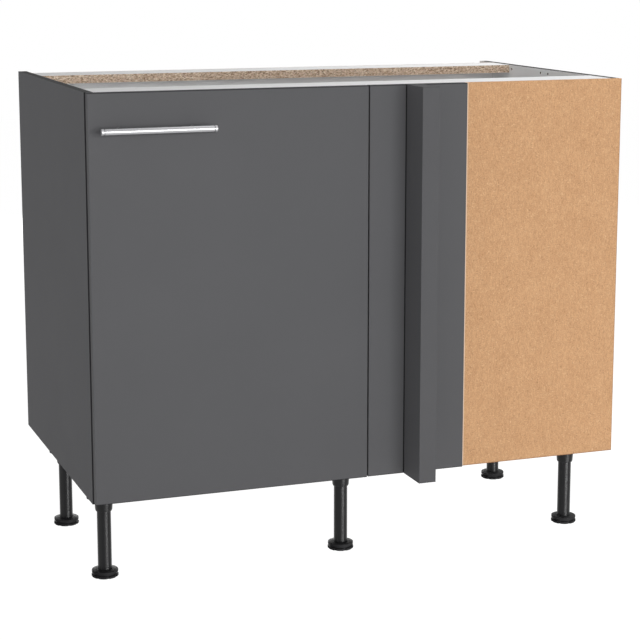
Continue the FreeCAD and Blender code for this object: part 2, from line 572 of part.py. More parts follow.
piece("handle_bar", cut("handle_bar_cut", turned("handle_bar_body", bar_profile, bar_start, "+X"), sockets))
pieces_alike("handle_screws", handle_screws)
buffer_profile = [("0", "0"), ("buffer_radius", "0"), ("buffer_radius - chamfer", "door_gap - running_play"),
                  ("0", "door_gap - running_play")]
pieces_alike("door_buffers", [turned("door_buffer", buffer_profile, ("buffer_edge", DOOR_BACK, z), "+Y")
                              for z in ("front_lift + buffer_inset", "height - buffer_inset")])


# Cup hinges: plate on the stile, arm, cranked link, cup in the door, two axles.
def inward(distance):
    """x of a point at a distance from the door's hinge edge."""
    return "(door_left + door_width - (%s))" % distance


def behind(distance):
    """y of a point at a distance behind the door's back face."""
    return "(%s - door_gap)" % distance


CUP_PIVOT = (inward("cup_pivot_in"), behind("-cup_pivot_deep"))
ARM_PIVOT = (inward("arm_pivot_in"), behind("arm_pivot_up"))
LINK_PATH = [CUP_PIVOT, (inward("knee_in"), behind("-knee_deep")),
             (inward("elbow_in"), behind("-elbow_deep")), ARM_PIVOT]
LINK_RADII = ("link_eye", "link_half", "link_half", "link_eye")
PLATE_TOP = "(door_left + door_width - stile_cover - plate_sheet)"
ARM_CLEAR = "link_half_width + arm_play"
ARM_CHEEK = "link_half_width + arm_play + arm_sheet"
NOSE_FAR = "arm_pivot_in + arm_nose"
NOSE_LOW = "arm_pivot_up - arm_nose"
# Channel arm seen along the axles, as (distance from the hinge edge, distance behind the door).
ARM_OUTLINE = [("-arm_foot", "arm_length"), ("-arm_foot", "arm_web_start + arm_heel"),
               ("-arm_foot - arm_step", "arm_web_start"), ("-arm_pivot_in + arm_nose", "arm_pivot_up"),
               ("-arm_pivot_in + arm_nose - arm_corner", NOSE_LOW),
               ("-arm_pivot_in - arm_nose + arm_corner", NOSE_LOW),
               ("-(%s)" % NOSE_FAR, NOSE_LOW + " + arm_corner"), ("-(%s)" % NOSE_FAR, "arm_web_start"),
               ("-arm_top", "arm_web_start + arm_slope"), ("-arm_top", "arm_length")]
ARM_HOLLOW = [("-arm_foot + cut_over", "arm_length + cut_over"),
              ("-arm_foot + cut_over", NOSE_LOW + " - cut_over"),
              ("-(%s) - cut_over" % NOSE_FAR, NOSE_LOW + " - cut_over"),
              ("-(%s) - cut_over" % NOSE_FAR, "arm_web_start"),
              ("-(%s) + arm_sheet" % NOSE_FAR, "arm_web_start"),
              ("-arm_top + arm_sheet", "arm_web_start + arm_slope"),
              ("-arm_top + arm_sheet", "arm_length + cut_over")]
CUP_SHELL = [("0", "-cup_depth + fit_play"), ("cup_radius - fit_play", "-cup_depth + fit_play"),
             ("cup_radius - fit_play", "cup_flange"), ("cup_radius - cup_wall", "cup_flange"),
             ("cup_radius - cup_wall", "-cup_depth + cup_floor"), ("0", "-cup_depth + cup_floor")]


def strap(name, start, end, z):
    """Straight stretch of the link between two points, as wide as the link."""
    run = "(%s - %s)" % (end[0], start[0])
    rise = "(%s - %s)" % (end[1], start[1])
    length = "sqrt(%s * %s + %s * %s)" % (run, run, rise, rise)
    obj = doc.addObject("Part::Box", name)
    bind(obj, "Length", length)
    bind(obj, "Width", "2 * link_half")
    bind(obj, "Height", "2 * link_half_width")
    place(obj, ("%s + %s / %s * link_half" % (start[0], rise, length),
                "%s - %s / %s * link_half" % (start[1], run, length), z + " - link_half_width"))
    bind(obj, "Placement.Rotation.Angle", "atan2(%s; %s)" % (rise, run))
    return obj


def hinge_link(name, z):
    """Cranked link with an eye at each end."""
    low = z + " - link_half_width"
    solids = [rod("link_round", (x, y, low), "+Z", radius, "2 * link_half_width")
              for (x, y), radius in zip(LINK_PATH, LINK_RADII)]
    solids += [strap("link_strap", start, end, z) for start, end in zip(LINK_PATH, LINK_PATH[1:])]
    bores = [rod("link_bore", (x, y, low), "+Z", "axle_radius + running_play", "2 * link_half_width")
             for x, y in (CUP_PIVOT, ARM_PIVOT)]
    piece("hinge_link_" + name, cut("link_cut_" + name, fuse("link_fuse_" + name, solids), bores))


def hinge_arm(name, z):
    """Channel arm: two cheeks round the link, joined by a web behind the nose. Gives its axle and screw."""
    hinge_edge = (DOOR_RIGHT, DOOR_BACK, z)
    channel = padded("arm_body_" + name, "XY_Plane", ARM_OUTLINE, "2 * (%s)" % ARM_CHEEK, hinge_edge)
    hollow = padded("arm_hollow_" + name, "XY_Plane", ARM_HOLLOW, "2 * (%s)" % ARM_CLEAR, hinge_edge)
    axle_start = (ARM_PIVOT[0], ARM_PIVOT[1], "%s - (%s)" % (z, ARM_CHEEK))
    axle_hole = rod("arm_axle_hole", axle_start, "+Z", "axle_radius + running_play", "2 * (%s)" % ARM_CHEEK)
    web_spot = (inward("arm_top"), behind("arm_screw_in"), z)
    web_hole = hole("arm_web", web_spot, "+X", "hinge_screw_radius", "arm_sheet")
    piece("hinge_arm_" + name, cut("arm_cut_" + name, channel, [hollow, axle_hole, web_hole]))
    return (rod("arm_axle", axle_start, "+Z", "axle_radius", "2 * (%s)" % ARM_CHEEK),
            screw("arm_screw", web_spot, "+X", HINGE_SCREW))


def hinge_plate(name, z):
    """Mounting plate: wings on the stile and a block under the arm. Gives its two screws."""
    block_top = inward("arm_top - arm_sheet")
    wings = box("plate_wings_" + name, (PLATE_TOP, STILE_LEFT), ("plate_front", "plate_back"),
                around(z, "plate_half"))
    block = box("plate_block_" + name, (block_top, PLATE_TOP), ("plate_front", "block_end"),
                around(z, ARM_CLEAR + " - fit_play"))
    seats = [(PLATE_TOP, "plate_screw_in", level) for which, level in PLATE_SCREWS if which == name]
    bores = [hole("plate_bore", seat, "+X", "hinge_screw_radius", "plate_sheet") for seat in seats]
    bores.append(hole("block_bore", (block_top, behind("arm_screw_in"), z), "+X",
                      "hinge_screw_radius", "hinge_screw_length"))
    piece("hinge_plate_" + name, cut("plate_cut_" + name, fuse("plate_fuse_" + name, [wings, block]), bores))
    return [screw("plate_screw", seat, "+X", PLATE_SCREW) for seat in seats]


def hinge_cup(name, z):
    """Cup: turned shell, flange on the door's back and two lugs for the axle. Gives its axle and screws."""
    flange_deep = (DOOR_BACK, behind("cup_flange"))
    cup_deep = (behind("-cup_depth"), "0")
    middle = (CUP_MIDDLE, DOOR_BACK, z)
    shell = turned("cup_shell_" + name, CUP_SHELL, middle, "+Y")
    near_edge = box("cup_near_" + name, (inward("cup_flange_near"), DOOR_RIGHT), flange_deep,
                    around(z, "cup_flange_half"))
    plate = box("cup_plate_" + name, (inward("cup_flange_far"), inward("cup_flange_near")), flange_deep,
                around(z, "cup_flange_half"))
    mouth = rod("cup_mouth_" + name, middle, "+Y", "cup_radius - cup_wall", "cup_flange")
    core = rod("cup_core_" + name, (CUP_MIDDLE, behind("-cup_depth + cup_floor"), z), "+Y",
               "cup_radius - cup_wall", "cup_depth - cup_floor - lug_drop")
    cup_back = inward("cup_setback + cup_radius")
    link_room = box("cup_room_" + name, (cup_back, DOOR_RIGHT), cup_deep, around(z, ARM_CLEAR))
    lug_end = box("lug_end_" + name, (cup_back, inward("cup_pivot_in + link_eye")), cup_deep,
                  around(z, "cup_radius"))
    lugs = cut("cup_lugs_" + name, core, [fuse("lug_space_" + name, [link_room, lug_end])])
    shell_cut = cut("cup_shell_cut_" + name, shell, [near_edge])
    plate_cut = cut("cup_plate_cut_" + name, plate, [mouth])
    half = "(link_half_width + cup_axle_out)"
    bores = [rod("cup_axle_bore", (CUP_PIVOT[0], CUP_PIVOT[1], "%s - %s - fit_play" % (z, half)), "+Z",
                 "axle_radius + running_play", "2 * (%s + fit_play)" % half)]
    spots = [spot for which, spot in CUP_SCREWS if which == name]
    bores += [hole("cup_screw_bore", (x, DOOR_BACK, level), "+Y", "hinge_screw_radius", "cup_flange")
              for x, level in spots]
    joined = fuse("cup_fuse_" + name, [shell_cut, plate_cut, lugs])
    piece("hinge_cup_" + name, cut("cup_cut_" + name, joined, bores))
    axle_start = (CUP_PIVOT[0], CUP_PIVOT[1], "%s - %s" % (z, half))
    screws = [screw("cup_screw", (x, behind("cup_flange"), level), "-Y", HINGE_SCREW) for x, level in spots]
    return rod("cup_axle", axle_start, "+Z", "axle_radius", "2 * " + half), screws


plate_screws = []
arm_screws = []
cup_screws = []
arm_axles = []
cup_axles = []
for name, z in HINGES:
    hinge_link(name, z)
    arm_axle, arm_screw = hinge_arm(name, z)
    arm_axles.append(arm_axle)
    arm_screws.append(arm_screw)
    plate_screws += hinge_plate(name, z)
    cup_axle, screws = hinge_cup(name, z)
    cup_axles.append(cup_axle)
    cup_screws += screws
pieces_alike("hinge_plate_screws", plate_screws)
pieces_alike("hinge_arm_screws", arm_screws)
pieces_alike("hinge_cup_screws", cup_screws)
pieces_alike("hinge_arm_axles", arm_axles)
pieces_alike("hinge_cup_axles", cup_axles)

doc.recompute()
for obj in doc.Objects:
    if "Invalid" in obj.State or "Error" in obj.State:
        raise RuntimeError("%s failed: %s" % (obj.Label, obj.State))
for obj in pieces:
    if obj.Shape.isNull() or not obj.Shape.isValid():
        raise RuntimeError("%s has no valid shape" % obj.Label)
os.makedirs("parts", exist_ok=True)
for obj in pieces:
    obj.Shape.exportStep("parts/%s.step" % obj.Label)
print(len(pieces), "pieces")
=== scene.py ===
"""Looks of the corner base cabinet: board and fitting finishes, eased edges, screws, light and camera."""
import functools
import json
import math

import bmesh
import bpy
from mathutils import Matrix, Vector


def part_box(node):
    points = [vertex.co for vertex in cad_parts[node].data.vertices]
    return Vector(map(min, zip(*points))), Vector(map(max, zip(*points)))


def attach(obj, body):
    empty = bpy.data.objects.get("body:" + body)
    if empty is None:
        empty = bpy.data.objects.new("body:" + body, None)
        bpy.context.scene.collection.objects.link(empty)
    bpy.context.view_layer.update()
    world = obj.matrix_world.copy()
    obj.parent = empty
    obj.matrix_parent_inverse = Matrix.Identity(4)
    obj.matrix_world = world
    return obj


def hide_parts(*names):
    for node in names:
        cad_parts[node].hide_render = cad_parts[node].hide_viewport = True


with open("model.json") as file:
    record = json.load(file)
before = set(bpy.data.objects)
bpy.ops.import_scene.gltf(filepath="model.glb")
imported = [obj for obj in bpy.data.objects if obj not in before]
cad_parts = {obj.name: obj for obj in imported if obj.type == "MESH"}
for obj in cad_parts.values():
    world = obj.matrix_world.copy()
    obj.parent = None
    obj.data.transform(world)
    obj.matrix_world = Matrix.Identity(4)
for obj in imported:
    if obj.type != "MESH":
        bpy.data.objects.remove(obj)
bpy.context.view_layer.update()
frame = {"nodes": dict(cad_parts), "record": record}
cad_nodes = frame["nodes"]
body_of = {}
for body, members in frame["record"]["behaviour"]["bodies"].items():
    for member in members:
        body_of[member] = body

scene = bpy.context.scene
scene.view_settings.view_transform = "Standard"
X, Y, Z = 0, 1, 2


# Node trees
class Socket:
    """Output of a node. Arithmetic on it adds Math nodes."""

    def __init__(self, nodes, output):
        self.nodes = nodes
        self.output = output

    def maths(self, operation, first, second):
        return self.nodes.node("ShaderNodeMath", {"operation": operation}, {0: first, 1: second})

    def __add__(self, other):
        return self.maths("ADD", self, other)

    def __radd__(self, other):
        return self.maths("ADD", other, self)

    def __sub__(self, other):
        return self.maths("SUBTRACT", self, other)

    def __rsub__(self, other):
        return self.maths("SUBTRACT", other, self)

    def __mul__(self, other):
        return self.maths("MULTIPLY", self, other)

    def __rmul__(self, other):
        return self.maths("MULTIPLY", other, self)

    def __lt__(self, other):
        return self.maths("LESS_THAN", self, other)

    def __gt__(self, other):
        return self.maths("GREATER_THAN", self, other)

    def between(self, low, high):
        return (self > low) * (self < high)

    def either(self, other):
        return self.maths("MAXIMUM", self, other)

    def zigzag(self, top):
        return self.maths("PINGPONG", self, top)

    def angle(self, other):
        """Angle whose tangent is this value over the other."""
        return self.maths("ARCTAN2", self, other)


SEEN_RAYS = ("Is Camera Ray", "Is Glossy Ray", "Is Transmission Ray")


class Nodes:
    """A node tree of a material, of the world or of a modifier."""

    def __init__(self, tree):
        self.tree = tree
        tree.nodes.clear()

    def node(self, kind, settings=None, sockets=None, output=0):
        """Add a node: its type, its settings, then the values or links of its sockets."""
        made = self.tree.nodes.new(kind)
        for name, value in (settings or {}).items():
            if name == "stops":
                elements = made.color_ramp.elements
                while len(elements) < len(value):
                    elements.new(1.0)
                for element, (place, colour) in zip(elements, value):
                    element.position = place
                    element.color = colour
            else:
                setattr(made, name, value)
        for name, value in (sockets or {}).items():
            for each in value if isinstance(value, list) else [value]:
                if isinstance(each, Socket):
                    self.tree.links.new(each.output, made.inputs[name])
                else:
                    made.inputs[name].default_value = each
        return Socket(self, made.outputs[output]) if made.outputs else None

    def ranged(self, value, low, high, to_low=0.0, to_high=1.0):
        """A value brought from one range to another and kept inside it."""
        sockets = {"Value": value, "From Min": low, "From Max": high, "To Min": to_low, "To Max": to_high}
        return self.node("ShaderNodeMapRange", {}, sockets)

    def in_view(self):
        """1 where the camera looks, also by way of a gloss or through something clear, else 0."""
        rays = [self.node("ShaderNodeLightPath", output=ray) for ray in SEEN_RAYS]
        return functools.reduce(Socket.either, rays)


# Most of a noise lies between these values
NOISE_LOW, NOISE_HIGH = 0.3, 0.7


class Finish(Nodes):
    """A material that is put together from nodes on Object coordinates."""

    def __init__(self, name):
        self.material = bpy.data.materials.new(name)
        self.material.use_nodes = True
        super().__init__(self.material.node_tree)
        self.spot = self.node("ShaderNodeTexCoord", output="Object")

    def axis(self, which, vector=None):
        """Place along one axis."""
        return self.node("ShaderNodeSeparateXYZ", {}, {"Vector": vector or self.spot}, which)

    def stretched(self, scales, centre=(0, 0, 0)):
        """Object coordinates measured from a centre and scaled along each axis."""
        moved = self.node("ShaderNodeVectorMath", {"operation": "SUBTRACT"}, {0: self.spot, 1: centre})
        return self.node("ShaderNodeVectorMath", {"operation": "MULTIPLY"}, {0: moved, 1: scales})

    def noise(self, scale, detail=2.0, roughness=0.5, vector=None, output=0):
        sockets = {"Vector": vector or self.spot, "Scale": scale, "Detail": detail, "Roughness": roughness}
        return self.node("ShaderNodeTexNoise", {}, sockets, output)

    def drawn_noise(self, scales, detail=2.0, roughness=0.5, centre=(0, 0, 0)):
        """Noise with a scale of its own along each axis."""
        return self.noise(1.0, detail, roughness, self.stretched(scales, centre))

    def spread(self, noise, low=0.0, high=1.0):
        """A noise spread over a range."""
        return self.ranged(noise, NOISE_LOW, NOISE_HIGH, low, high)

    def mixed(self, factor, first, second, how="MIX"):
        settings = {"data_type": "RGBA", "blend_type": how}
        return self.node("ShaderNodeMix", settings, {0: factor, 6: first, 7: second}, 2)

    def shaded(self, colour, amount):
        """A colour made lighter or darker by a value round 1."""
        grey = self.node("ShaderNodeCombineXYZ", {}, {X: amount, Y: amount, Z: amount})
        return self.mixed(1.0, colour, grey, "MULTIPLY")

    def raised(self, height, distance, strength):
        return self.node("ShaderNodeBump", {}, {"Height": height, "Distance": distance, "Strength": strength})

    def surface(self, **sockets):
        """End the material in a Principled shader; names use _ for a space."""
        named = {name.replace("_", " "): value for name, value in sockets.items()}
        shader = self.node("ShaderNodeBsdfPrincipled", {}, named)
        self.node("ShaderNodeOutputMaterial", {}, {"Surface": shader})
        return self.material


def paint(red, green, blue):
    """Colour from the 0 to 255 values of a screen."""
    def linear(value):
        share = value / 255
        return share / 12.92 if share <= 0.04045 else ((share + 0.055) / 1.055) ** 2.4
    return (linear(red), linear(green), linear(blue), 1.0)


def scales_along(axis, along, across):
    """Scales of a pattern that differ along one axis from those across it."""
    return tuple(along if each == axis else across for each in (X, Y, Z))


# Colours
ANTHRACITE = paint(92, 92, 94)
# Painted shade on the ends and edges of anthracite boards, darker than their face
ANTHRACITE_PAINTED_SHADE = paint(52, 52, 54)
ANTHRACITE_DUST = paint(120, 120, 122)
# Painted shade on the top edges of the side panels, darkest of all
TOP_EDGE_PAINTED_SHADE = paint(26, 26, 27)
# Painted shade where the corner post meets the filler strip
CORNER_PAINTED_SHADE = paint(34, 34, 35)
WHITE = paint(242, 242, 242)
WHITE_BAND = paint(244, 244, 243)
FIBRE_PALE = paint(225, 179, 135)
FIBRE_DARK = paint(171, 125, 85)
FIBRE_FLECK = paint(138, 94, 60)
FIBRE_STRAW = paint(232, 197, 157)
# Painted highlight along the left edge of the fibreboard
FIBRE_PAINTED_HIGHLIGHT = paint(238, 214, 190)
HARDBOARD = paint(172, 132, 94)
HARDBOARD_FLECK = paint(104, 72, 46)
CHIP_STOPS = [(0.0, paint(128, 104, 84)), (0.1, paint(171, 143, 119)), (0.28, paint(194, 167, 142)),
              (0.5, paint(212, 189, 165)), (0.68, paint(218, 191, 174)), (0.84, paint(232, 212, 188)),
              (1.0, paint(243, 229, 210))]
CHIP_PIT = paint(80, 60, 45)
# Painted shade on the walls of drilled holes
HOLE_PAINTED_SHADE = paint(58, 46, 36)
FOOT_BLACK = paint(30, 30, 31)
TUBE_BLACK = paint(12, 12, 13)
BAR_STEEL = paint(178, 178, 180)
STANDOFF_STEEL = paint(192, 192, 194)
NICKEL_PLATE = paint(206, 204, 198)
ZINC_PLATE = paint(196, 199, 202)
BUFFER_MILK = paint(214, 216, 214)
BEECH_DARK = paint(196, 156, 112)
BEECH_PALE = paint(226, 194, 150)

# Lengths on the finishes, in metres
SKIN = 0.0003
EDGE_DEPTH = 0.0008
RAIL_BAND = 0.0024
# Width of the painted shade at the ends of door, filler strip and corner post
END_SHADE_WIDTH = 0.0014
CUT = 0.001
# Width of the painted shade beside the corner post
CORNER_SHADE_WIDTH = 0.0016
# Width of the painted highlight along the fibreboard's left edge
LEFT_HIGHLIGHT_WIDTH = 0.0042
# Widths of the darker rim along the fibreboard's bottom and right edges
DARK_RIM_BOTTOM = 0.0014
DARK_RIM_SIDE = 0.001
GROOVE = 0.0005
GROOVE_INSET = 0.005
THREAD_PITCH = 0.0025
STEM_START = 0.0145
CHIPS_PER_METRE = 380.0


# Finishes
def chips(finish, flat):
    """Pressed wood chips lying flat across the given axis. Gives colour and height."""
    spot = finish.stretched(scales_along(flat, 2 * CHIPS_PER_METRE, CHIPS_PER_METRE))
    drift = finish.noise(0.6, vector=spot, output="Color")
    bent = finish.node("ShaderNodeVectorMath", {"operation": "ADD"}, {0: spot, 1: drift})
    cells = {"Vector": bent, "Scale": 1.0}
    chip = finish.node("ShaderNodeTexVoronoi", {}, cells, "Color")
    shade = finish.node("ShaderNodeSeparateColor", {}, {"Color": chip}, "Red")
    grain = finish.noise(2600.0, 3.0)
    colour = finish.node("ShaderNodeValToRGB", {"stops": CHIP_STOPS}, {"Fac": shade + (grain - 0.5) * 0.3})
    rim = finish.node("ShaderNodeTexVoronoi", {"feature": "DISTANCE_TO_EDGE"}, cells)
    loose = finish.ranged(finish.noise(170.0), 0.52, 0.66)
    pit = finish.ranged(rim, 0.0, 0.09, 1.0, 0.0) * loose
    return finish.mixed(pit * 0.65, colour, CHIP_PIT), shade * 0.5 - pit


def skin_pearl(finish):
    """Fine pearl of a melamine face."""
    return finish.noise(1500.0, roughness=0.6)


def board(name, node, flat, low_skin, high_skin, bands=(), edge_depth=EDGE_DEPTH):
    """Melamine board: a colour on each broad face, a colour on chosen edges (white edge bands, and painted
    shade on the side panels' edges), raw chips where it was cut, and painted shade on the walls of drilled
    holes.
    """
    finish = Finish(name)
    low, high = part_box(node)
    colour, height = chips(finish, flat)
    edges = [axis for axis in (X, Y, Z) if axis != flat]
    # Raw chip faces away from the cut edges are the walls of drilled holes; they get painted shade
    first, second = (finish.axis(axis).between(low[axis] + CUT, high[axis] - CUT) for axis in edges)
    colour = finish.mixed(first * second * 0.85, colour, HOLE_PAINTED_SHADE)
    layers = []
    # Edge layers: white edge bands, and painted shade on the edges of the side panels
    for axis, side, edge_layer in bands:
        place = finish.axis(axis)
        mask = place > high[axis] - edge_depth if side > 0 else place < low[axis] + edge_depth
        layers.append((mask, edge_layer))
    place = finish.axis(flat)
    layers.append((place < low[flat] + SKIN, low_skin))
    layers.append((place > high[flat] - SKIN, high_skin))
    for mask, layer in layers:
        colour = finish.mixed(mask, colour, layer)
    covered = functools.reduce(Socket.either, [mask for mask, layer in layers])
    cloud = finish.ranged(finish.noise(7.0, 3.0), 0.25, 0.75, 0.965, 1.035)
    pearl = skin_pearl(finish)
    rough = finish.spread(pearl, 0.52, 0.64) * covered + (1 - covered) * 0.85
    relief = pearl * covered * 0.25 + height * (1 - covered)
    return finish.surface(Base_Color=finish.shaded(colour, cloud), Roughness=rough,
                          Normal=finish.raised(relief, 0.0004, 0.6), Specular_IOR_Level=0.03)


def matt_front(name, node, painted_light_scale=1.0, joint=None, top_shade_width=END_SHADE_WIDTH):
    """Matt anthracite laminate of door, filler strip and corner post, with painted shade on its top and
    bottom ends.

    A corner shade is an axis and the two places on it between which the laminate gets painted shade, where
    the corner post meets the filler strip.
    """
    finish = Finish(name)
    low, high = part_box(node)
    rise = finish.axis(Z)
    # Painted shade on the top and bottom ends of the laminate
    edge_layer = (rise < low.z + END_SHADE_WIDTH).either(rise > high.z - top_shade_width)
    # The painted light scale lightens or darkens the whole laminate: painted light on the filler strip,
    # painted shade on the corner post
    cloud = finish.ranged(finish.noise(5.0, 4.0, 0.6), 0.25, 0.75, 0.975 * painted_light_scale, 1.025 * painted_light_scale)
    pearl = skin_pearl(finish)
    dust = finish.ranged(finish.noise(420.0), 0.66, 0.8, 0.0, 0.05)
    colour = finish.mixed(dust, finish.shaded(ANTHRACITE, cloud), ANTHRACITE_DUST)
    colour = finish.mixed(edge_layer, colour, ANTHRACITE_PAINTED_SHADE)
    # Painted shade where the corner post meets the filler strip
    if joint:
        axis, start, end = joint
        colour = finish.mixed(finish.axis(axis).between(start, end), colour, CORNER_PAINTED_SHADE)
    return finish.surface(Base_Color=colour, Roughness=finish.spread(pearl, 0.5, 0.62),
                          Normal=finish.raised(pearl, 0.0002, 0.5), Specular_IOR_Level=0.05)


def raw_fibreboard(name, node):
    """Raw fibreboard: tan felt of wood fibres with pale straws and dark flecks, a painted highlight along its
    left edge, and darker along its bottom and right edges.
    """
    finish = Finish(name)
    low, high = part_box(node)
    cloud = finish.spread(finish.noise(16.0, 4.0, 0.65))
    felt = finish.ranged(finish.noise(430.0, 5.0, 0.72), 0.32, 0.68)
    lines = finish.drawn_noise((520.0, 300.0, 170.0), 3.0, 0.6)
    streaks = finish.ranged(finish.drawn_noise((300.0, 300.0, 110.0), 3.0, 0.6), 0.34, 0.66)
    straw = finish.ranged(finish.drawn_noise((260.0, 300.0, 420.0)), 0.62, 0.72)
    fleck = finish.ranged(finish.drawn_noise((330.0, 400.0, 330.0), centre=(3, 1, 2)), 0.65, 0.74)
    colour = finish.mixed(cloud * 0.16 + felt * 0.62 + streaks * 0.22, FIBRE_DARK, FIBRE_PALE)
    colour = finish.mixed(finish.ranged(lines, 0.5, 0.75) * 0.3, colour, FIBRE_STRAW)
    colour = finish.mixed(straw * 0.55, colour, FIBRE_STRAW)
    colour = finish.mixed(fleck * 0.55, colour, FIBRE_FLECK)
    # Painted highlight along the left edge
    left_highlight = finish.axis(X) < low.x + LEFT_HIGHLIGHT_WIDTH
    colour = finish.mixed(left_highlight * 0.8, colour, FIBRE_PAINTED_HIGHLIGHT)
    # Darker along the bottom edge and the right edge
    dark_rim = (finish.axis(Z) < low.z + DARK_RIM_BOTTOM).either(finish.axis(X) > high.x - DARK_RIM_SIDE)
    colour = finish.mixed(dark_rim * 0.7, colour, FIBRE_FLECK)
    return finish.surface(Base_Color=colour, Roughness=finish.ranged(felt, 0.0, 1.0, 0.72, 0.86),
                          Normal=finish.raised(felt + lines * 0.5, 0.0003, 0.5), Specular_IOR_Level=0.25)


def lacquered_hardboard(name, node):
    """Thin back: white lacquer inside, brown pressed fibres outside and on the edges."""
    finish = Finish(name)
    inside = finish.axis(Y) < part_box(node)[0].y + SKIN
    felt = finish.noise(600.0, 4.0, 0.7)
    cloud = finish.noise(9.0, 3.0)
    brown = finish.shaded(HARDBOARD, finish.spread(felt * 0.6 + cloud * 0.4, 0.82, 1.14))
    fleck = finish.ranged(finish.drawn_noise((500.0, 500.0, 240.0)), 0.68, 0.76)
    brown = finish.mixed(fleck * 0.5, brown, HARDBOARD_FLECK)
    return finish.surface(Base_Color=finish.mixed(inside, brown, WHITE), Roughness=inside * -0.3 + 0.72,
                          Normal=finish.raised(felt * (1 - inside), 0.0003, 0.5), Specular_IOR_Level=0.35)


def plastic_grain(finish):
    """Pores of a plastic, and the light and dark clouds of its flow in the mould."""
    return finish.noise(1300.0, 3.0), finish.spread(finish.noise(40.0, 3.0), 0.85, 1.2)


def moulded_black(name, centre=None):
    """Matt black plastic of the nail glides and feet. Round a centre, the stem of a foot has its thread."""
    finish = Finish(name)
    pores, flow = plastic_grain(finish)
    height = pores * 0.12
    if centre:
        local = finish.stretched((1, 1, 1), centre)
        turn = finish.axis(Y, local).angle(finish.axis(X, local))
        rise = finish.axis(Z)
        thread = (rise * (1 / THREAD_PITCH) - turn * (1 / math.tau)).zigzag(0.5) * 2.0
        height = height + thread * (rise > STEM_START)
    return finish.surface(Base_Color=finish.shaded(FOOT_BLACK, flow),
                          Roughness=finish.spread(pores, 0.42, 0.52),
                          Normal=finish.raised(height, 0.0005, 0.6), Specular_IOR_Level=0.04)


def drawn_black(name):
    """Black plastic of the leg tubes and sockets: smooth, its gloss drawn out along the leg."""
    finish = Finish(name)
    pores, flow = plastic_grain(finish)
    return finish.surface(Base_Color=finish.shaded(TUBE_BLACK, flow),
                          Roughness=finish.spread(pores, 0.29, 0.33),
                          Normal=finish.raised(pores, 0.00001, 0.6), Specular_IOR_Level=0.22,
                          Anisotropic=0.9, Anisotropic_Rotation=0.25)


def brushed(name, colour, along, grooves=()):
    """Steel with fine brushing lines along one axis, and painted shade in the turned grooves at the given
    places on it.
    """
    finish = Finish(name)
    lines = finish.drawn_noise(scales_along(along, 24.0, 1500.0), 4.0, 0.65)
    bands = finish.drawn_noise(scales_along(along, 6.0, 160.0))
    tone = finish.spread(lines * 0.6 + bands * 0.4, 0.86, 1.08)
    place = finish.axis(along)
    for groove in grooves:
        # Painted shade in each turned groove
        tone = tone * (1 - place.between(groove - GROOVE, groove + GROOVE) * 0.7)
    return finish.surface(Base_Color=finish.shaded(colour, tone), Metallic=1.0,
                          Roughness=finish.spread(lines, 0.22, 0.34),
                          Normal=finish.raised(lines, 0.00008, 0.4))


def plated(name, colour, rough):
    """Plated steel of hinges and screws, slightly clouded."""
    finish = Finish(name)
    cloud = finish.noise(90.0, 4.0, 0.6)
    fine = finish.noise(900.0)
    return finish.surface(Base_Color=finish.shaded(colour, finish.spread(cloud, 0.88, 1.06)), Metallic=1.0,
                          Roughness=finish.spread(cloud * 0.5 + fine * 0.5, rough, rough + 0.14),
                          Normal=finish.raised(fine, 0.00005, 0.4))


def soft_buffer(name):
    """Milky soft plastic of the door buffers."""
    finish = Finish(name)
    cloud = finish.spread(finish.noise(300.0), 0.92, 1.04)
    return finish.surface(Base_Color=finish.shaded(BUFFER_MILK, cloud),
                          Roughness=finish.spread(finish.noise(800.0), 0.3, 0.45), Coat_Weight=0.2)


def beech_wood(name):
    """Beech of the dowels, with its grain along X."""
    finish = Finish(name)
    grain = finish.drawn_noise(scales_along(X, 90.0, 900.0), 3.0)
    return finish.surface(Base_Color=finish.mixed(grain, BEECH_DARK, BEECH_PALE),
                          Roughness=finish.spread(grain, 0.6, 0.75))


